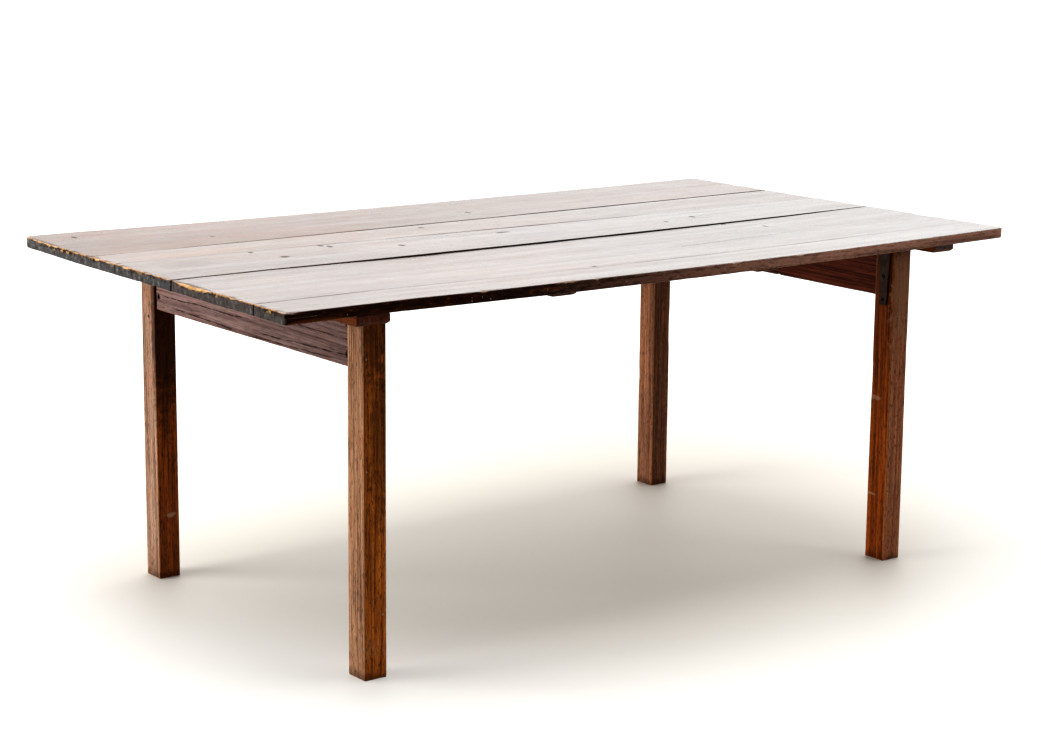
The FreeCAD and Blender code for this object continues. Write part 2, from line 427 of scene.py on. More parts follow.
def make_flecks():
    """Sparse small spots of uneven size, for paint specks, dents and worm holes."""
    inputs = {"Vector": PLACE, "Scale": VALUE, "Share": VALUE, "Size": VALUE}
    group, start, end = new_group("flecks", inputs, ["Mask"])
    wobble = follow("TexNoise", {"Vector": start["Vector"], "Scale": 300.0}).outputs["Color"]
    place = vector_maths("ADD", start["Vector"], scaled(wobble, 0.004))
    cells = follow("TexVoronoi", {"Vector": place, "Scale": start["Scale"]})
    draw = follow("SeparateColor", {"Color": cells.outputs["Color"]}).outputs
    kept = maths("LESS_THAN", draw["Red"], start["Share"])
    reach = times(start["Size"], summed(0.3, (draw["Green"], 0.7)))
    inside = maths("LESS_THAN", cells.outputs["Distance"], reach)
    feed(end, {"Mask": times(kept, inside)})
    return group


def make_edge_rub():
    """Edges rubbed by use: the rounded strips, broken up along their length."""
    inputs = {"Wear": VALUE, "Vector": PLACE, "Amount": VALUE}
    group, start, end = new_group("edge_rub", inputs, ["Rub", "Grime"])
    broken = noise(start["Vector"], 45.0, 5.0, 0.7)
    level = less(1.0, start["Amount"])
    rub = fade(times(start["Wear"], broken), times(level, 0.6), level)
    feed(end, {"Rub": rub})
    fine = noise(start["Vector"], 160.0, 3.0, 0.6)
    feed(end, {"Grime": times(start["Wear"], fade(fine, 0.5, 0.62))})
    return group


def make_scratches():
    """Fine scratches that cross a surface in two slanted directions."""
    group, start, end = new_group("scratches", {"Vector": PLACE}, ["Mask"])
    masks = []
    for angle, scale in ((0.35, (3.0, 420.0, 420.0)), (1.2, (4.0, 520.0, 520.0))):
        turned = follow("Mapping", {"Vector": start["Vector"], "Rotation": (0, 0, angle)}).outputs[0]
        lines = noise(stretched(turned, scale), 1.0, 1.0, 0.4)
        masks.append(fade(lines, 0.72, 0.76))
    feed(end, {"Mask": maths("MAXIMUM", *masks)})
    return group


def make_smudge():
    """One soft-edged mark at a place, with a ragged outline."""
    inputs = {"Vector": PLACE, "Centre": PLACE, "Reach": PLACE, "Ragged": VALUE}
    group, start, end = new_group("smudge", inputs, ["Mask"])
    place = vector_maths("SUBTRACT", start["Vector"], start["Centre"])
    place = vector_maths("DIVIDE", place, start["Reach"])
    away = measure("LENGTH", place)
    ragged = less(noise(start["Vector"], 60.0, 5.0, 0.65), 0.5)
    away = summed(away, (ragged, start["Ragged"]))
    feed(end, {"Mask": fade(away, 0.45, 1.0, 1.0, 0.0)})
    return group


def make_grain_crack():
    """One long dark crack along the grain X at a height Z, which wanders, swells and stops."""
    inputs = {"Vector": PLACE}
    inputs.update({socket: VALUE for socket in CRACK_SIZES})
    group, start, end = new_group("grain_crack", inputs, ["Mask"])
    spot = parted(start["Vector"])
    seed = times(start["Level"], 173.0)
    slow = follow("CombineXYZ", {0: times(spot["X"], 7.0), 1: seed}).outputs[0]
    quick = follow("CombineXYZ", {0: times(spot["X"], 38.0), 1: seed}).outputs[0]
    bend = less(noise(slow, 1.0, 4.0, 0.6), 0.5)
    height = summed(start["Level"], (spot["X"], start["Slope"]), (bend, start["Wander"]))
    swell = fade(noise(quick, 1.0, 3.0, 0.6), 0.36, 0.62, 0.15, 1.0)
    width = times(start["Width"], swell)
    away = maths("DIVIDE", maths("ABSOLUTE", less(spot["Z"], height)), width)
    inside = fade(away, 0.4, 1.0, 1.0, 0.0)
    began = fade(less(spot["X"], start["From"]), 0.0, 0.04)
    ended = fade(less(start["To"], spot["X"]), 0.0, 0.04)
    feed(end, {"Mask": times(inside, times(began, ended))})
    return group


wood_grain = make_wood_grain()
grain_crack = make_grain_crack()
smudge = make_smudge()
blotches = make_blotches()
flecks = make_flecks()
edge_rub = make_edge_rub()
scratches = make_scratches()

GRAIN_TURNS = {X: (0.0, 0.0, 0.0), Y: (0.0, 0.0, math.radians(90)), Z: (0.0, math.radians(90), 0.0)}


def new_material(name):
    material = bpy.data.materials.new(name)
    material.use_nodes = True
    tree = material.node_tree
    tree.nodes.clear()
    shader = add(tree, "BsdfPrincipled")
    add(tree, "OutputMaterial", {"Surface": shader.outputs["BSDF"]})
    return material, tree, shader


def stained_wood(
        name, axis, dark, light, heart, ring_width=0.007, warp=0.03, gloss=0.42, ring_share=0.4,
        worn=tone(150, 100, 60), rub=0.42, end_tone=None, side_sheen_tones=None, raw_tone=tone(208, 176, 126),
        speck_share=0.05, stain=tone(34, 17, 10), glow=tone(168, 98, 44), glow_share=0.3, coat=None,
        shine=0.5, relief=0.55, seam_share=0.25, streak_share=0.45, fibre_share=0.40, dash_share=0.0,
        grime=0.45, faces=(), right=None, cracks=(), marks=(), nicks=()):
    """Old stained timber with its grain along an axis, rubbed edges, stains, specks and dents."""
    material, tree, shader = new_material(name)
    place = add(tree, "TexCoord").outputs["Object"]
    normal = add(tree, "TexCoord").outputs["Normal"]
    along = follow("Mapping", {"Vector": place, "Rotation": GRAIN_TURNS[axis]}).outputs[0]
    grain = put(wood_grain, {"Vector": along, "Heart": heart, "Ring Width": ring_width, "Warp": warp})
    stains = put(blotches, {"Vector": stretched(along, (0.5, 1.0, 1.0)), "Scale": 4.5})
    wear = add(tree, "Attribute", attribute_name="wear").outputs["Fac"]
    rubbed = put(edge_rub, {"Wear": wear, "Vector": place, "Amount": rub})

    steps = parted(normal)
    spot = parted(place)
    # Faces that look one way get tones of their own: painted light and shade, lighter or darker for how the
    # light falls on that side.
    for letter, way, lit_face_dark, lit_face_light in faces:
        lit_facing = fade(steps[letter], way * 0.45, way * 0.8)
        dark = mix(lit_facing, dark, lit_face_dark)
        light = mix(lit_facing, light, lit_face_light)
    streaky = fade(grain["Streaks"], 0.34, 0.66)
    fibrous = fade(grain["Fibres"], 0.34, 0.66)
    share = summed(-0.15, (grain["Rings"], ring_share), (streaky, streak_share), (fibrous, fibre_share))
    colour = mix(share, light, dark)
    golden = fade(stains["Clouds"], 0.50, 0.68)
    golden = times(golden, fade(grain["Streaks"], 0.62, 0.40))
    colour = layered(colour, (golden, glow_share, glow))
    if dash_share:
        colour = mix(fade(grain["Dashes"], 0.44, 0.28, 0.0, 0.55 * dash_share), colour, glow)
        colour = mix(fade(grain["Dashes"], 0.52, 0.70, 0.0, dash_share), colour, stain)
    seams = drawn_noise(along, (2.2, 75.0, 75.0), 2.0, 0.55)
    seams = fade(maths("ABSOLUTE", less(seams, 0.5)), 0.0, 0.018, 1.0, 0.0)
    seams = times(seams, fade(stains["Clouds"], 0.48, 0.6))
    colour = layered(colour, (grain["Pores"], 0.6, stain), (stains["Patches"], 0.35, stain),
                     (seams, seam_share, stain))
    # Towards the right end the colour turns grey: a painted sheen, where the top shows a whiter reflection.
    if right:
        colour = mix(fade(spot["X"], -0.6, 0.7, 0.0, right[1]), colour, right[0])

    cut_end = fade(maths("ABSOLUTE", steps["XYZ"[axis]]), 0.45, 0.75)
    on_side = less(1.0, cut_end)
    speck_level = speck_share
    # Plank sides run from dark at the left end to light at the right end, with more dark mottle to the left:
    # a painted sheen of the light from the right.
    if side_sheen_tones:
        beside = fade(maths("ABSOLUTE", steps["Y"]), 0.45, 0.8)
        beside = times(beside, on_side)
        sheen_along_side = fade(spot["X"], -0.55, 0.50)
        side = mix(sheen_along_side, *side_sheen_tones)
        mottle = drawn_noise(along, (55.0, 210.0, 260.0), 4.0, 0.65)
        dark_mottle = summed(0.75, (sheen_along_side, -0.35))
        side = mix(fade(mottle, 0.48, 0.62, 0.0, dark_mottle), side, stain)
        side = mix(fade(mottle, 0.44, 0.30, 0.0, 0.55), side, glow)
        side = mix(fade(grain["Streaks"], 0.46, 0.64, 0.0, 0.45), side, stain)
        outer = maths("LESS_THAN", spot["Y"], -0.525)
        outside = maths("GREATER_THAN", maths("ABSOLUTE", spot["Y"]), 0.525)
        # Sides inside the joints between planks are painted near black: painted shade in the narrow gaps.
        side = mix(outside, tone(26, 15, 10), side)
        colour = mix(beside, colour, side)
        speck_level = times(summed(speck_share, (times(beside, outer), 0.80)), on_side)
    if end_tone:
        saw = drawn_noise(along, (300.0, 100.0, 70.0), 5.0, 0.75)
        sawn = mix(fade(saw, 0.50, 0.64, 0.0, 0.48), end_tone, stain)
        sawn = mix(fade(saw, 0.47, 0.36, 0.0, 0.40), sawn, tone(140, 139, 140))
        rim = fade(summed(spot["Z"], (saw, 0.012)), 0.7555, 0.7615)
        rim = times(rim, fade(noise(place, 9.0), 0.40, 0.56))
        glints = times(rim, fade(noise(place, 75.0, 3.0), 0.54, 0.62))
        sawn = layered(sawn, (rim, 0.6, stain), (glints, 0.8, tone(180, 146, 96)))
        colour = mix(cut_end, colour, sawn)

    colour = layered(colour, (rubbed["Rub"], 0.75, worn), (rubbed["Grime"], grime, stain))
    gashes = 0.0
    for crack in cracks:
        values = {"Vector": along}
        values.update(zip(CRACK_SIZES, crack))
        gash = put(grain_crack, values)["Mask"]
        colour = layered(colour, (gash, 0.85, stain))
        gashes = maths("MAXIMUM", gash, gashes)
    dull = 0.0
    for centre, reach, ragged, strength, mark_tone in marks:
        values = {"Vector": place, "Centre": centre, "Reach": reach, "Ragged": ragged}
        mask = times(put(smudge, values)["Mask"], on_side)
        mask = times(mask, strength)
        colour = mix(mask, colour, mark_tone)
        dull = maths("MAXIMUM", mask, dull)
    pits = 0.0
    for centre, reach in nicks:
        values = {"Vector": place, "Centre": centre, "Reach": reach, "Ragged": 0.9}
        nick = put(smudge, values)["Mask"]
        colour = layered(colour, (nick, 0.85, tone(34, 22, 16)))
        dull = maths("MAXIMUM", nick, dull)
        pits = maths("MAXIMUM", nick, pits)
    raw = add(tree, "Attribute", attribute_name="raw").outputs["Fac"]
    torn = fade(times(raw, fade(stains["Clouds"], 0.3, 0.6, 0.6, 1.3)), 0.3, 0.75)
    fresh = mix(grain["Fibres"], raw_tone, worn)
    colour = mix(torn, colour, fresh)

    specks = put(flecks, {"Vector": place, "Scale": 55.0, "Share": speck_level, "Size": 0.12})["Mask"]
    dent_place = stretched(along, (0.35, 1.0, 1.0))
    dents = put(flecks, {"Vector": dent_place, "Scale": 21.0, "Share": 0.06, "Size": 0.07})["Mask"]
    lines = put(scratches, {"Vector": place})["Mask"]
    colour = layered(colour, (specks, 0.7, tone(198, 176, 152)), (dents, 0.8, tone(24, 15, 11)),
                     (lines, 0.12, worn))

    rough = summed(gloss - 0.1, (stains["Clouds"], 0.22), (torn, 0.3), (cut_end, 0.4), (lines, 0.08))
    height = summed(grain["Height"], (dents, -2.0), (lines, -0.25), (seams, -1.2 * seam_share),
                    (gashes, -2.5), (pits, -6.0))
    bump = follow("Bump", {"Strength": relief, "Distance": 0.0006, "Height": height}).outputs[0]
    feed(shader, {"Base Color": colour, "Roughness": rough, "Normal": bump, "Specular IOR Level": shine,
                  "Coat Roughness": 0.2})
    if coat:
        polish = times(fade(spot["X"], -0.8, 0.8, *coat), fade(steps["Z"], 0.5, 0.8))
        polish = times(polish, less(1.0, dull))
        sheen = drawn_noise(along, (1.4, 40.0, 40.0), 4.0, 0.65)
        polish = times(polish, fade(sheen, 0.32, 0.68, 1.13, 0.86))
        feed(shader, {"Coat Weight": polish})
    return material


def forged_iron(name, dark, light, gloss):
    """Old black iron, scaled and slightly rusty."""
    material, tree, shader = new_material(name)
    place = add(tree, "TexCoord").outputs["Object"]
    scale = put(blotches, {"Vector": place, "Scale": 38.0})
    wear = add(tree, "Attribute", attribute_name="wear").outputs["Fac"]
    rubbed = put(edge_rub, {"Wear": wear, "Vector": place, "Amount": 0.55})
    colour = layered(mix(scale["Clouds"], dark, light), (scale["Patches"], 0.45, tone(52, 34, 25)),
                     (rubbed["Rub"], 0.35, tone(92, 84, 78)))
    rough = summed(gloss, (scale["Clouds"], 0.35))
    pits = noise(place, 420.0, 4.0, 0.65)
    bump = follow("Bump", {"Strength": 0.5, "Distance": 0.0008, "Height": pits}).outputs[0]
    feed(shader, {"Base Color": colour, "Roughness": rough, "Normal": bump, "Metallic": 0.6})
    return material


# Textures that weather the surfaces
broad_swell = cloud("broad_swell", 0.30, 2)
hand_ripple = cloud("hand_ripple", 0.07, 3)
edge_bruise = cloud("edge_bruise", 0.022, 3)
edge_chip = cloud("edge_chip", 0.05, 4, 0.60, 0.76)
torn_edge = cloud("torn_edge", 0.020, 4, 0.0, 0.45)
saw_mark = cloud("saw_mark", 0.005, 1)
hammer_mark = cloud("hammer_mark", 0.012, 1)


# Planks

def plank_ends(node):
    """The front and back edge of a plank at its left end and at its right end."""
    low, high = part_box(node)
    lower_face = [v.co for v in nodes[node].data.vertices if v.co.z < low.z + 0.001]
    spans = []
    for end in (low.x, high.x):
        across = [place.y for place in lower_face if abs(place.x - end) < touching]
        front = low.y if abs(low.y - cad_low.y) < touching else min(across)
        back = high.y if abs(high.y - cad_high.y) < touching else max(across)
        spans.append((front, back))
    return low, high, spans


def round_plan_corner(piece, corner, radius):
    """Round one corner of a plank as seen from above."""
    inward_x = -math.copysign(1, corner.x)
    inward_y = -math.copysign(1, corner.y)
    centre_x = corner.x + inward_x * radius
    centre_y = corner.y + inward_y * radius
    for vertex in piece.data.vertices:
        away_x = (vertex.co.x - centre_x) * -inward_x
        away_y = (vertex.co.y - centre_y) * -inward_y
        if away_x > 0 and away_y > 0:
            shrink = max(away_x, away_y) / math.hypot(away_x, away_y)
            vertex.co.x = centre_x - inward_x * away_x * shrink
            vertex.co.y = centre_y - inward_y * away_y * shrink


joint_ease = 0.0003
tight_ease = 0.00005
tight_arris = 0.0004
gap_closed_at_left = 0.0025
# Sides of planks along the open gap and along the tight joint: node, and whether it is the back side
gap_sides = {("plank_middle", False), ("plank_front_inner", True)}
tight_sides = {("plank_back_inner", False), ("plank_middle", True)}
corner_radii = {
    ("plank_back", -1): 0.016,
    ("plank_back", 1): 0.028,
    ("plank_front", -1): 0.007,
    ("plank_front", 1): 0.012,
}

# Broken stretches of the upper edge: node, then end or side, from, to and depth
broken_edges = {
    "plank_back": [("left", 0.36, 0.50, 0.0042), ("left", 0.28, 0.31, 0.003)],
    "plank_back_inner": [("left", 0.185, 0.215, 0.004)],
    "plank_middle": [("left", 0.06, 0.10, 0.004), ("left", -0.03, 0.00, 0.003),
                     ("left", -0.105, -0.08, 0.002)],
    "plank_front_inner": [("left", -0.275, -0.110, 0.0062), ("left", -0.36, -0.33, 0.003)],
    "plank_front": [("left", -0.47, -0.44, 0.002), ("front", 0.12, 0.15, 0.003),
                    ("front", 0.30, 0.33, 0.003), ("front", -0.52, -0.49, 0.003),
                    ("front", -0.24, -0.22, 0.003)],
}

# Cracks: start, end, opening, depth, direction into the plank and how far the line wanders
plank_splits = {
    "plank_front_inner": [((0.175, -0.310, top_level), (0.823, -0.268, top_level), 0.0011, 0.004,
                           (0, 0, -1), 0.004)],
}


def weigh(piece, group, weight):
    """A vertex group whose weight is worked out from each vertex's place."""
    made = piece.vertex_groups.new(name=group)
    for vertex in piece.data.vertices:
        share = weight(vertex.co)
        if share > 0:
            made.add([vertex.index], min(1.0, share), "REPLACE")


torn_reach = 0.0085


def break_edge(piece, side, start, end, depth):
    """Tear the upper edge of a plank along its left end or its front side."""
    lows = Vector(piece.bound_box[0])
    highs = Vector(piece.bound_box[6])

    def torn(place):
        run = place.y if side == "left" else place.x
        inside = place.x - lows.x if side == "left" else place.y - lows.y
        reach = min(run - start, end - run) / (0.25 * (end - start))
        near = 1 - (max(0.0, inside) + max(0.0, highs.z - place.z) * 0.9) / torn_reach
        return clamp(reach) * clamp(near)

    weigh(piece, "torn", torn)
    weather(piece, torn_edge, -depth, group="torn", middle=0.0, offset=(start, start, 0))
    piece.vertex_groups.remove(piece.vertex_groups["torn"])


split_level = 0.7525
split_half_height = 0.0034
split_depth = 0.004
split_length = 0.085
split_opening = 0.009


def open_corner_split(piece):
    """The front left corner has split along the grain: a groove in the side that closes to the right."""
    lows = Vector(piece.bound_box[0])

    def opened(place):
        near_side = 1 - (place.y - lows.y) / split_depth
        in_band = 1 - abs(place.z - split_level) / split_half_height
        closing = 1 - (place.x - lows.x) / split_length
        return clamp(near_side * 2) * clamp(in_band * 2) * max(0.0, closing) ** 0.5

    weigh(piece, "split", opened)
    press(piece, "split", "Y", split_opening)


# From the middle of the table, where its ends begin, and the levels that part a plank's upper and lower edges
end_band = 0.936
upper_edge = 0.75
lower_edge = 0.745
edge_band = 0.006


def mark_wear(piece, node):
    """Rubbing along the outer edges, and along the open gap near the left end."""
    outer = piece.vertex_groups["outer_arris"].index
    joint = piece.vertex_groups["joint_arris"].index
    gap_side = {"plank_middle": -0.11, "plank_front_inner": -0.112}.get(node)
    values = []
    for vertex in piece.data.vertices:
        belongs = groups_of(vertex)
        value = float(outer in belongs)
        if value and abs(vertex.co.x) > end_band:
            value = 1.25 if vertex.co.z > upper_edge else 0.0
        if gap_side is not None and joint in belongs and abs(vertex.co.y - gap_side) < 0.02:
            value = max(value, 0.8 * clamp((0.0 - vertex.co.x) / 0.6))
        if value and abs(vertex.co.y - cad_low.y) < edge_band and abs(vertex.co.x) < end_band:
            on_lower_lip = vertex.co.z < lower_edge
            value = 0.55
            if on_lower_lip and vertex.co.x < -0.79:
                value = 1.6
            elif on_lower_lip and vertex.co.x > 0.15:
                value = 1.0
        values.append(value)
    mark(piece, "wear", values)


def calm_hidden_edges(piece):
    """The lower edges and the back edge have had fewer knocks than the others."""
    group = piece.vertex_groups["outer_arris"]
    for vertex in piece.data.vertices:
        if group.index in groups_of(vertex):
            if vertex.co.y > cad_high.y - edge_band:
                group.add([vertex.index], 0.1, "REPLACE")
            elif vertex.co.z < 0.749:
                group.add([vertex.index], 0.3, "REPLACE")


# How far each plank has sunk halfway along the table, and over what half span: front side, then back side
plank_sag = {
    "plank_back": ((0.0008, 0.90), (0.0030, 0.90)),
    "plank_back_inner": ((0.0016, 0.90), (0.0013, 0.90)),
    "plank_middle": ((0.0030, 0.80), (0.0016, 0.90)),
    "plank_front_inner": ((0.0050, 0.74), (0.0058, 0.80)),
    "plank_front": ((0.0047, 0.74), (0.0050, 0.74)),
}


# Where the sag is deepest, and how far the right end rises as a share of it
sag_middle = 0.08
right_rise = 0.35
# How high the back left corner has lifted, and where the lift begins and how far it runs in X and in Y
corner_lift = 0.0025
lift_start = (-0.55, 0.30)
lift_run = (0.39, 0.235)


def bow(x, half_span):
    """Share of the full sag along the table: none at the left end, and a slight rise at the right end."""
    share = 1 - ((x - sag_middle) / half_span) ** 2
    return max(share, -right_rise if x > 0 else 0.0)


def let_sag(piece, node):
    """The planks have sunk between the leg frames over the years, and the back left corner has lifted."""
    low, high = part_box(node)
    at_front, at_back = plank_sag[node]
    for vertex in piece.data.vertices:
        place = vertex.co
        across = (place.y - low.y) / (high.y - low.y)
        lift = max(0.0, (place.y - lift_start[Y]) / lift_run[Y])
        lift *= max(0.0, (lift_start[X] - place.x) / lift_run[X])
        front_drop = at_front[0] * bow(place.x, at_front[1])
        back_drop = at_back[0] * bow(place.x, at_back[1])
        vertex.co.z += corner_lift * lift - front_drop - (back_drop - front_drop) * across


def make_plank(node, material, shift):
    low, high, spans = plank_ends(node)
    piece = sawn_block(node + "_worn", low, high)
    open_edit(piece, "VERT")
    for end, (front, back) in zip((low.x, high.x), spans):
        for old, new, inward in ((low.y, front, 1), (high.y, back, -1)):
            outer = abs(new - cad_low.y) < touching or abs(new - cad_high.y) < touching
            side = (node, inward < 0)
            ease = tight_ease if side in tight_sides else joint_ease
            move = new - old + (0.0 if outer else inward * ease)
            if end < 0 and side in gap_sides:
                move -= inward * gap_closed_at_left
            pick(piece, "verts", lambda v: abs(v.co.x - end) < touching and abs(v.co.y - old) < 0.0001)
            if abs(move) > 0.00005:
                bpy.ops.transform.translate(value=(0, move, 0))
    close_edit()
    slice_block(piece, X, plank_slice)
    slice_block(piece, Y, plank_cross_slice)
    slice_block(piece, Z, plank_depth_slice)
    for (name, end), radius in corner_radii.items():
        if name == node:
            side = high.y if node == "plank_back" else low.y
            round_plan_corner(piece, Vector((low.x if end < 0 else high.x, side, 0)), radius)

    def at_end(edge):
        return all(min(abs(v.co.x - low.x), abs(v.co.x - high.x)) < 0.02 for v in edge.verts)

    def on_outer_side(edge):
        return all(min(abs(v.co.y - cad_low.y), abs(v.co.y - cad_high.y)) < touching for v in edge.verts)

    middle_y = sum(front + back for front, back in spans) / 4

    def at_tight_joint(edge):
        return (node, edge.verts[0].co.y > middle_y) in tight_sides

    def at_joint(edge):
        return not at_end(edge) and not on_outer_side(edge)

    def on_rim(edge):
        return (at_end(edge) or on_outer_side(edge)) and not runs_along(edge, Z)

    ease_edges(piece, outer_arris, "outer_arris", on_rim)
    ease_edges(piece, joint_arris, "joint_arris", lambda e: at_joint(e) and not at_tight_joint(e))
    if any(name == node for name, at_back in tight_sides):
        ease_edges(piece, tight_arris, "tight_arris", lambda e: at_joint(e) and at_tight_joint(e))
    calm_hidden_edges(piece)

    def at_joint_end(edge):
        closed = "plank_back" in node and all(v.co.x < 0 and v.co.y > 0.2 for v in edge.verts)
        return at_end(edge) and runs_along(edge, Z) and not on_outer_side(edge) and not closed

    ease_edges(piece, joint_end_arris, "joint_end", at_joint_end, 1)
    weigh(piece, "sawn_end", lambda place: float(min(place.x - low.x, high.x - place.x) < 0.0006))
    mark_wear(piece, node)
    weather(piece, broad_swell, 0.0022, (3.0, 0.6, 1.0), offset=(shift, shift, 0))
    weather(piece, hand_ripple, 0.0009, (3.0, 0.7, 1.0), offset=(0, shift, shift))
    weather(piece, edge_bruise, 0.0009, (1.5, 1.0, 1.0), "outer_arris", offset=(shift, 0, 0))
    weather(piece, saw_mark, 0.0002, (1.0, 1.0, 5.0), "sawn_end", offset=(0, shift, 0))
    before = places(piece)
    weather(piece, edge_chip, -0.0028, (1.0, 1.3, 1.0), "outer_arris", middle=0.0, offset=(0, 0, shift))
    for spot in broken_edges.get(node, []):
        break_edge(piece, *spot)
    mark_raw(piece, before, plank_bare_depth)
    if node == "plank_front":
        open_corner_split(piece)
    for crack in plank_splits.get(node, []):
        split(piece, *crack)
    let_sag(piece, node)
    return finish_piece(piece, node, material)


slate = tone(77, 75, 74)
brown_slate = tone(84, 78, 75)
# Edge tones from the left end to the right end: a painted sheen, darker at the left and lit at the right.
edge_sheen_tones = (tone(60, 28, 12), tone(196, 150, 130))
# Grey that the tops turn towards at their right ends, a painted sheen; also the tone of one faint mark on the
# middle plank.
grey_sheen_and_polish = tone(66, 58, 53)
plank_finishes = {
    "plank_back": dict(
        dark=tone(80, 50, 26), light=tone(118, 76, 42), heart=(0.3, 0.36, 0.70), ring_width=0.008,
        end_tone=slate, right=(grey_sheen_and_polish, 0.25), coat=(0.53, 0.64)),
    "plank_back_inner": dict(
        dark=tone(82, 52, 28), light=tone(120, 80, 46), heart=(0.1, 0.17, 0.66), ring_width=0.010,
        end_tone=slate, right=(grey_sheen_and_polish, 0.5), coat=(0.74, 0.68)),
    "plank_middle": dict(
        dark=tone(78, 52, 36), light=tone(112, 82, 60), heart=(0.6, 0.02, 0.69), ring_width=0.007,
        end_tone=slate, right=(grey_sheen_and_polish, 0.6), coat=(0.71, 0.77)),
    "plank_front_inner": dict(
        dark=tone(80, 54, 38), light=tone(116, 84, 64), heart=(0.2, -0.26, 0.68), ring_width=0.009,
        end_tone=brown_slate, right=(grey_sheen_and_polish, 0.6), coat=(0.76, 0.78)),
    "plank_front": dict(
        dark=tone(80, 54, 38), light=tone(114, 84, 66), heart=(0.4, -0.56, 0.60), ring_width=0.006,
        end_tone=brown_slate, right=(grey_sheen_and_polish, 0.6), coat=(0.75, 0.83), raw_tone=tone(158, 116, 86)),
}
amber = tone(176, 118, 66)
brown_smear = tone(60, 38, 26)
# Marks on the planks: place, reach, how ragged, strength and tone
plank_marks = {
    "plank_front": [
        ((-0.88, -0.535, 0.739), (0.09, 0.02, 0.007), 1.0, 0.65, tone(128, 68, 30)),
        ((-0.70, -0.535, 0.7405), (0.12, 0.02, 0.005), 1.6, 0.4, tone(104, 56, 30))],
    "plank_back": [((-0.55, 0.27, top_level), (0.6, 0.09, 0.1), 0.8, 0.11, amber)],
    "plank_back_inner": [
        ((-0.35, 0.16, top_level), (0.8, 0.08, 0.1), 0.8, 0.08, amber),
        ((-0.74, 0.155, top_level), (0.16, 0.05, 0.1), 0.9, 0.16, amber),
        ((-0.48, 0.222, top_level), (0.14, 0.035, 0.1), 0.9, 0.08, amber)],
    "plank_middle": [
        ((-0.60, 0.05, top_level), (0.4, 0.07, 0.1), 0.8, 0.08, amber),
        ((-0.82, 0.03, top_level), (0.09, 0.045, 0.1), 1.4, 0.20, brown_smear),
        ((-0.55, 0.01, top_level), (0.10, 0.03, 0.1), 1.6, 0.16, brown_smear),
        ((0.02, -0.017, top_level), (0.10, 0.02, 0.1), 1.2, 0.08, grey_sheen_and_polish)],
}
# Dents in the top that show dark: place, and how far each reaches along and across
plank_nicks = {
    "plank_back": [
        (-0.858, 0.469, 0.007, 0.018), (-0.600, 0.334, 0.006, 0.014), (0.079, 0.338, 0.007, 0.016)],
    "plank_back_inner": [(-0.148, 0.200, 0.010, 0.012)],
    "plank_middle": [
        (-0.645, 0.094, 0.007, 0.014), (-0.475, 0.096, 0.008, 0.016), (-0.463, 0.078, 0.008, 0.016),
        (-0.325, 0.013, 0.008, 0.016), (-0.612, 0.012, 0.014, 0.016), (-0.038, 0.045, 0.024, 0.010),
        (0.473, -0.003, 0.008, 0.016), (0.375, -0.026, 0.006, 0.014)],
    "plank_front_inner": [
        (0.465, -0.120, 0.008, 0.012), (0.527, -0.192, 0.006, 0.016), (-0.142, -0.412, 0.007, 0.012)],
}
for order, (node, finish) in enumerate(plank_finishes.items()):
    nicks = []
    for x, y, along, across in plank_nicks.get(node, ()):
        nicks.append(((x, y, top_level), (along, 0.8 * across, 0.1)))
    finish_material = stained_wood(
        node + "_finish", X, side_sheen_tones=edge_sheen_tones, gloss=0.34, shine=0.12, ring_share=0.3, rub=0.36,
        relief=0.22, speck_share=0.01, worn=tone(190, 142, 92), marks=plank_marks.get(node, ()),
        nicks=nicks, **finish)
    make_plank(node, finish_material, 0.37 * (order + 1))


# Legs and aprons

def make_stick(node, low, high, material, slices, stretch, shift, arris=stick_arris,
               bruise=0.0008, chip=0.0022, swell=0.0016):
    """A squared timber with rubbed edges."""
    piece = sawn_block(node + "_worn", low, high)
    for axis, spacing in zip((X, Y, Z), slices):
        slice_block(piece, axis, spacing)
    ease_edges(piece, arris, "arris")
    mark_group(piece, "wear", "arris")
    weather(piece, broad_swell, swell, stretch, offset=(shift, 0, shift))
    weather(piece, hand_ripple, 0.0005, stretch, offset=(0, shift, 0))
    weather(piece, edge_bruise, bruise, stretch, "arris", offset=(shift, shift, 0))
    before = places(piece)
    weather(piece, edge_chip, -chip, stretch, "arris", middle=0.0, offset=(0, shift, shift))
    mark_raw(piece, before, stick_bare_depth)
    return finish_piece(piece, node, material)


pale_scuff = tone(196, 170, 148)
# Dark patches high on some leg faces and round each foot.
dark_patch = tone(26, 11, 6)
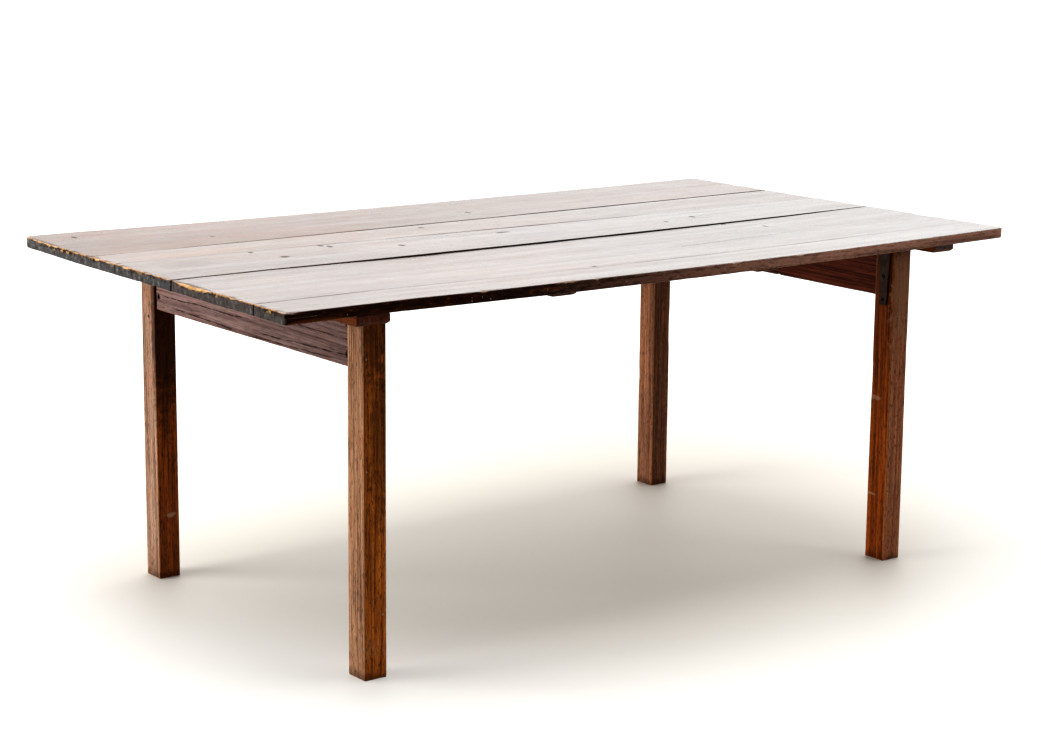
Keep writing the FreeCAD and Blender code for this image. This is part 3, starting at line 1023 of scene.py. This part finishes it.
# The four legs: tones all round, tones of the faces that look one way, which are painted light and shade for
# how the light falls on each side, and marks as on the planks
leg_finishes = {
    "front_left": dict(
        dark=tone(84, 54, 38), light=tone(202, 158, 124),
        faces=[("Y", -1, tone(103, 48, 13), tone(245, 149, 58))],
        marks=[((-0.693, -0.440, 0.69), (0.05, 0.02, 0.12), 1.8, 0.5, dark_patch),
               ((-0.680, -0.440, 0.45), (0.03, 0.02, 0.20), 2.0, 0.4, dark_patch),
               ((-0.700, -0.440, 0.06), (0.05, 0.05, 0.03), 4.5, 0.08, pale_scuff)]),
    "back_left": dict(
        dark=tone(88, 62, 49), light=tone(178, 146, 124),
        faces=[("Y", -1, tone(58, 25, 7), tone(194, 108, 40))],
        marks=[((-0.693, 0.386, 0.60), (0.06, 0.02, 0.34), 1.0, 0.75, dark_patch),
               ((-0.6875, 0.386, 0.142), (0.018, 0.01, 0.007), 2.2, 0.6, pale_scuff),
               ((-0.717, 0.410, 0.585), (0.006, 0.005, 0.005), 0.3, 0.95, tone(16, 10, 8))]),
    "front_right": dict(
        dark=tone(84, 48, 30), light=tone(164, 112, 78),
        faces=[("X", -1, tone(52, 18, 1), tone(184, 96, 28)),
               ("Y", -1, tone(132, 78, 51), tone(210, 144, 104))],
        marks=[((0.722, -0.440, 0.62), (0.04, 0.02, 0.16), 3.2, 0.65, tone(164, 122, 92)),
               ((0.693, -0.400, 0.376), (0.01, 0.020, 0.006), 2.4, 0.3, pale_scuff),
               ((0.693, -0.396, 0.151), (0.01, 0.016, 0.004), 2.0, 0.3, pale_scuff)]),
    "back_right": dict(
        dark=tone(92, 57, 40), light=tone(188, 136, 104),
        faces=[("Y", -1, tone(34, 14, 6), tone(186, 124, 84))],
        marks=[((0.717, 0.386, 0.45), (0.06, 0.02, 0.4), 1.1, 0.4, tone(36, 18, 12))]),
}
for order, (corner, finish) in enumerate(leg_finishes.items()):
    node = "leg_" + corner
    low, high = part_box(node)
    middle = (low + high) / 2
    # Each leg gets a dark patch round its foot.
    finish["marks"].append(((middle.x, middle.y, 0.0), (0.06, 0.06, 0.025), 1.0, 0.5, dark_patch))
    heart = (0.2 * order, middle.y + 0.03 * (order - 1), 0.05 - middle.x)
    finish_material = stained_wood(
        node + "_finish", Z, heart=heart, ring_width=0.0065, warp=0.045, gloss=0.50, shine=0.15,
        ring_share=0.10, streak_share=0.56, fibre_share=0.46, dash_share=0.66, rub=0.5, grime=0.15,
        worn=tone(168, 118, 80), end_tone=tone(60, 40, 28), glow_share=0.4, **finish)
    make_stick(node, low, high, finish_material, (0.006, 0.006, leg_slice), (1, 1, 3),
               0.31 * (order + 1), leg_arris, bruise=0.0003, chip=0.0010, swell=0.0007)


nail_inset = 0.010
nail_head_half = 0.004
nail_dent = 0.0008
nail_dent_reach = 0.010


def nail_stains(side):
    """Dark iron stains about the nails at both ends of an apron."""
    low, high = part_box("nails_apron_" + side)
    face = low.x if side == "left" else high.x
    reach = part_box("leg_back_" + side)[0].y - nail_inset
    return [((face, row * reach, height), (0.012, 0.0075, 0.0085), 0.5, 0.97, tone(12, 7, 6))
            for row in (-1, 1) for height in (low.z + nail_head_half, high.z - nail_head_half)]


def sink_nails(piece, side):
    """Press the face of an apron in a little about each nail head."""
    spots = [Vector(centre) for centre, *_ in nail_stains(side)]

    def near_nail(place):
        return max(0.0, 1.3 - min((place - spot).length for spot in spots) / nail_dent_reach)

    weigh(piece, "nail_dents", near_nail)
    press(piece, "nail_dents", "X", nail_dent if side == "left" else -nail_dent)


# How far the lower edge of the left apron hangs at the back, and rises from there to the front
apron_hang = 0.0030
apron_rise = 0.0055


def lift_front_end(piece, low, high):
    """The lower edge of the left apron hangs a little at the back and rises towards the front."""
    for vertex in piece.data.vertices:
        towards_front = (high.y - vertex.co.y) / (high.y - low.y)
        below_top = (high.z - vertex.co.z) / (high.z - low.z)
        vertex.co.z += (apron_rise * towards_front - apron_hang) * below_top


nick_y = -0.045
nick_half_width = 0.006
nick_reach = 0.02
nick_depth = 0.005


def nick_lower_edge(piece, low):
    """A small saw nick in the lower edge of the right apron."""
    for vertex in piece.data.vertices:
        near = 1 - abs(vertex.co.y - nick_y) / nick_half_width
        below = 1 - (vertex.co.z - low.z) / nick_reach
        if near > 0 and below > 0:
            vertex.co.z += nick_depth * near * below


# Long cracks in the face of the left apron: height, slope, wander, width, and where they start and stop
left_cracks = [(0.662, 0.0, 0.006, 0.0014, 0.12, 0.42), (0.619, 0.030, 0.008, 0.0022, 0.04, 0.42),
               (0.643, 0.016, 0.010, 0.0020, -0.37, 0.02), (0.611, -0.020, 0.010, 0.0024, -0.32, -0.03),
               (0.609, 0.024, 0.008, 0.0018, 0.00, 0.34), (0.690, 0.0, 0.014, 0.0014, -0.40, 0.40)]
apron_finishes = {
    "left": dict(dark=tone(91, 70, 66), light=tone(151, 127, 121), stain=tone(28, 13, 12),
                 cracks=left_cracks),
    "right": dict(dark=tone(30, 12, 7), light=tone(140, 74, 52)),
}
for order, (side, finish) in enumerate(apron_finishes.items()):
    node = "apron_" + side
    low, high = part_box(node)
    low.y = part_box("leg_front_" + side)[1].y
    high.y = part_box("leg_back_" + side)[0].y
    finish_material = stained_wood(
        node + "_finish", Y, heart=(0.1, low.x + 0.02, 0.58), ring_width=0.013, warp=0.02, ring_share=0.0,
        streak_share=0.75, dash_share=0.2, gloss=0.5, shine=0.15, speck_share=0.01, seam_share=0.5,
        marks=nail_stains(side), worn=tone(132, 96, 80), glow_share=0.15, **finish)
    piece = make_stick(node, low, high, finish_material, (0.0085, 0.005, 0.005), (1, 3, 1),
                       0.53 + order)
    sink_nails(piece, side)
    if side == "left":
        lift_front_end(piece, low, high)
    else:
        nick_lower_edge(piece, low)


# Battens
batten_thickness = 0.020
nose_length = 0.007
nose_lip = 0.012
worn_round = 0.0065
# Where the front nose of a middle batten begins to sink, and how far on it has sunk fully
nose_sinks_from = -0.415
nose_sinks_over = 0.03


def shape_noses(piece, low, high):
    """Round the lower ends of a batten, and its lower right edge, which is worn."""
    thickness = high.z - low.z
    for vertex in piece.data.vertices:
        inside = min(vertex.co.y - low.y, high.y - vertex.co.y)
        if inside < nose_length:
            rise = math.sqrt(max(0.0, 1 - (1 - max(inside, 0) / nose_length) ** 2))
            local = nose_lip + (thickness - nose_lip) * rise
            vertex.co.z = high.z - (high.z - vertex.co.z) * local / thickness
        right = vertex.co.x - (high.x - worn_round)
        down = (low.z + worn_round) - vertex.co.z
        if right > 0 and down > 0:
            shrink = max(right, down) / math.hypot(right, down)
            vertex.co.x = high.x - worn_round + right * shrink
            vertex.co.z = low.z + worn_round - down * shrink


def sink_front_nose(piece):
    """The front end of a middle batten has sunk with the front plank."""
    sag, half_span = plank_sag["plank_front"][0]
    for vertex in piece.data.vertices:
        near_front = clamp((nose_sinks_from - vertex.co.y) / nose_sinks_over)
        vertex.co.z -= sag * bow(vertex.co.x, half_span) * near_front


batten_ends = {
    "left_end": tone(118, 66, 46),
    "left_middle": tone(96, 60, 44),
    "right_middle": tone(96, 60, 44),
    "right_end": tone(124, 106, 101),
}
for order, (place, end_tone) in enumerate(batten_ends.items()):
    node = "batten_" + place
    low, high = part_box(node)
    low.z = high.z - batten_thickness
    finish_material = stained_wood(
        node + "_finish", Y, dark=tone(84, 38, 16), light=tone(158, 88, 42), heart=(0.1, low.x + 0.08, 0.76),
        ring_width=0.006, warp=0.02, gloss=0.45, shine=0.2, end_tone=end_tone, worn=tone(150, 104, 76))
    piece = make_stick(node, low, high, finish_material, (0.0045, 0.0035, 0.0035), (1, 3, 1),
                       0.23 * (order + 2), bruise=0.0003, chip=0.0010, swell=0.0008)
    shape_noses(piece, low, high)
    if "middle" in place:
        sink_front_nose(piece)


# Iron angle brackets, forged from a flat bar, in the inner corners between legs and boards
bracket_finish = forged_iron("bracket_finish", tone(80, 63, 53), tone(126, 104, 91), 0.45)
fastener_finish = forged_iron("fastener_finish", tone(24, 20, 18), tone(50, 44, 40), 0.4)
bar_thickness = 0.005
bar_arris = 0.0007
hammer_depth = 0.0012
# Distance from the corner and half width of the bar, along each arm
bar_shape = [(0.009, 0.021), (0.027, 0.018), (0.080, 0.0148), (0.134, 0.0112), (0.1445, 0.0100),
             (0.146, 0.0086)]


def make_bracket(node):
    """Draw both arms out of a small block in the corner, then hammer the bar."""
    low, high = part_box(node)
    inward = 1 if low.x < 0 else -1
    corner_x = low.x if inward > 0 else high.x
    edge_low = Vector((min(corner_x, corner_x + inward * bar_thickness), low.y, high.z - bar_thickness))
    edge_high = Vector((max(corner_x, corner_x + inward * bar_thickness), high.y, high.z))
    piece = sawn_block(node + "_forged", edge_low, edge_high)
    block_middle = (edge_low + edge_high) / 2

    def is_arm_start(face, way):
        away = face.calc_center_median() - block_middle
        return face.normal.dot(way) > 0.9 and (away - way * bar_thickness / 2).length < touching

    for way in (Vector((0, 0, -1)), Vector((inward, 0, 0))):
        open_edit(piece, "FACE")
        reached = bar_thickness
        width = high.y - low.y
        for index, (distance, half) in enumerate(bar_shape):
            if index == 0:
                pick(piece, "faces", lambda face: is_arm_start(face, way))
            move = {"value": way * (distance - reached), "orient_type": "GLOBAL"}
            bpy.ops.mesh.extrude_region_move(TRANSFORM_OT_translate=move)
            bpy.ops.transform.resize(value=(1, 2 * half / width, 1))
            reached = distance
            width = 2 * half
        close_edit()
    change(piece, "SUBSURF", subdivision_type="SIMPLE", levels=3, render_levels=3)
    ease_edges(piece, bar_arris, "arris")
    mark_group(piece, "wear", "arris")
    weather(piece, hammer_mark, hammer_depth, middle=0.9, offset=(low.x, low.y, 0))
    finish_piece(piece, node, bracket_finish)


for corner in leg_finishes:
    make_bracket("bracket_" + corner)
for name, solid in nodes.items():
    if name.startswith(("screws_", "nails_")):
        solid.data.materials.clear()
        solid.data.materials.append(fastener_finish)


# Floor, light and camera
deselect_all()
bpy.ops.mesh.primitive_plane_add(size=9)
floor = bpy.context.object
floor.name = "floor"
floor_finish, floor_tree, floor_shader = new_material("floor_finish")
floor_place = add(floor_tree, "TexCoord").outputs["Object"]
floor_place = vector_maths("SUBTRACT", floor_place, (0.25, 0.36, 0))
floor_reach = measure("LENGTH", floor_place)
feed(floor_shader, {"Base Color": (0.785, 0.75, 0.68, 1), "Roughness": 0.6,
                    "Alpha": fade(floor_reach, 0.75, 2.20, 1.0, 0.0)})
floor.data.materials.append(floor_finish)
floor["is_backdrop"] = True

world = bpy.data.worlds.new("studio")
world.use_nodes = True
bpy.context.scene.world = world
sky = world.node_tree
sky.nodes.clear()
view_way = add(sky, "TexCoord").outputs["Generated"]
bright_side = measure("DOT_PRODUCT", view_way, Vector((0.80, 0.58, 0.16)).normalized())
glow = fade(bright_side, -0.35, 0.98, 0.12, 1.5)
low_band = fade(parted(view_way)["Z"], 0.09, 0.24, 0.60, 1.0)
glow = times(glow, low_band)
glow = times(glow, fade(bright_side, 0.75, 1.0, 0.84, 1.04))
room = add(sky, "Background", {"Color": (1, 1, 1, 1), "Strength": glow})
wall = add(sky, "Background", {"Color": (1, 1, 1, 1), "Strength": 1.0})
seen = add(sky, "LightPath").outputs["Is Camera Ray"]
both = follow("MixShader", {0: seen, 1: room.outputs[0], 2: wall.outputs[0]})
add(sky, "OutputWorld", {"Surface": both.outputs[0]})


def soft_light(name, place, aim, width, height, power, mirrored=True):
    """A lit panel. One that isn't mirrored leaves no bright patch on the polished top."""
    lamp = bpy.data.lights.new(name, "AREA")
    lamp.shape = "RECTANGLE"
    lamp.size = width
    lamp.size_y = height
    lamp.energy = power
    holder = bpy.data.objects.new(name, lamp)
    bpy.context.scene.collection.objects.link(holder)
    holder.location = place
    holder.rotation_euler = (Vector(aim) - Vector(place)).to_track_quat("-Z", "Y").to_euler()
    holder.visible_glossy = mirrored


soft_light("left_window", (-3.2, 1.3, 0.72), (0, 0, 0.4), 2.2, 1.3, 98, mirrored=False)
soft_light("ceiling_panel", (0.1, -0.1, 4.2), (0.1, -0.1, 0), 3.4, 2.6, 70)
soft_light("right_fill", (3.4, -4.2, 1.6), (0.7, -0.4, 0.4), 1.6, 1.6, 26, mirrored=False)

# Camera at the photo's place: 1041 by 756 picture, focal length and picture centre in its pixels
photo_width, photo_height = 1041, 756
focal_pixels = 2337.1
centre_pixel = (545.3, 334.2)
camera_place = Vector((-3.0592, -4.0538, 1.5226))
camera_heading = math.radians(37.495)
camera_tilt = math.radians(-11.02)
camera_roll = math.radians(0.647)
sensor = 36.0

lens = bpy.data.cameras.new("photo_camera")
camera = bpy.data.objects.new("photo_camera", lens)
bpy.context.scene.collection.objects.link(camera)
lens.sensor_width = sensor
lens.lens = focal_pixels / photo_width * sensor
lens.shift_x = (photo_width / 2 - centre_pixel[0]) / photo_width
lens.shift_y = (centre_pixel[1] - photo_height / 2) / photo_width
level_reach = math.cos(camera_tilt)
ahead = Vector((math.sin(camera_heading) * level_reach, math.cos(camera_heading) * level_reach,
                math.sin(camera_tilt)))
level = Vector((math.cos(camera_heading), -math.sin(camera_heading), 0))
upward = level.cross(ahead)
right = level * math.cos(camera_roll) + upward * math.sin(camera_roll)
top = upward * math.cos(camera_roll) - level * math.sin(camera_roll)
camera.matrix_world = Matrix.Translation(camera_place) @ Matrix((right, top, -ahead)).transposed().to_4x4()
bpy.context.scene.camera = camera
bpy.context.scene.view_settings.view_transform = "Standard"
bpy.context.scene.view_settings.look = "High Contrast"

low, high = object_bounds()
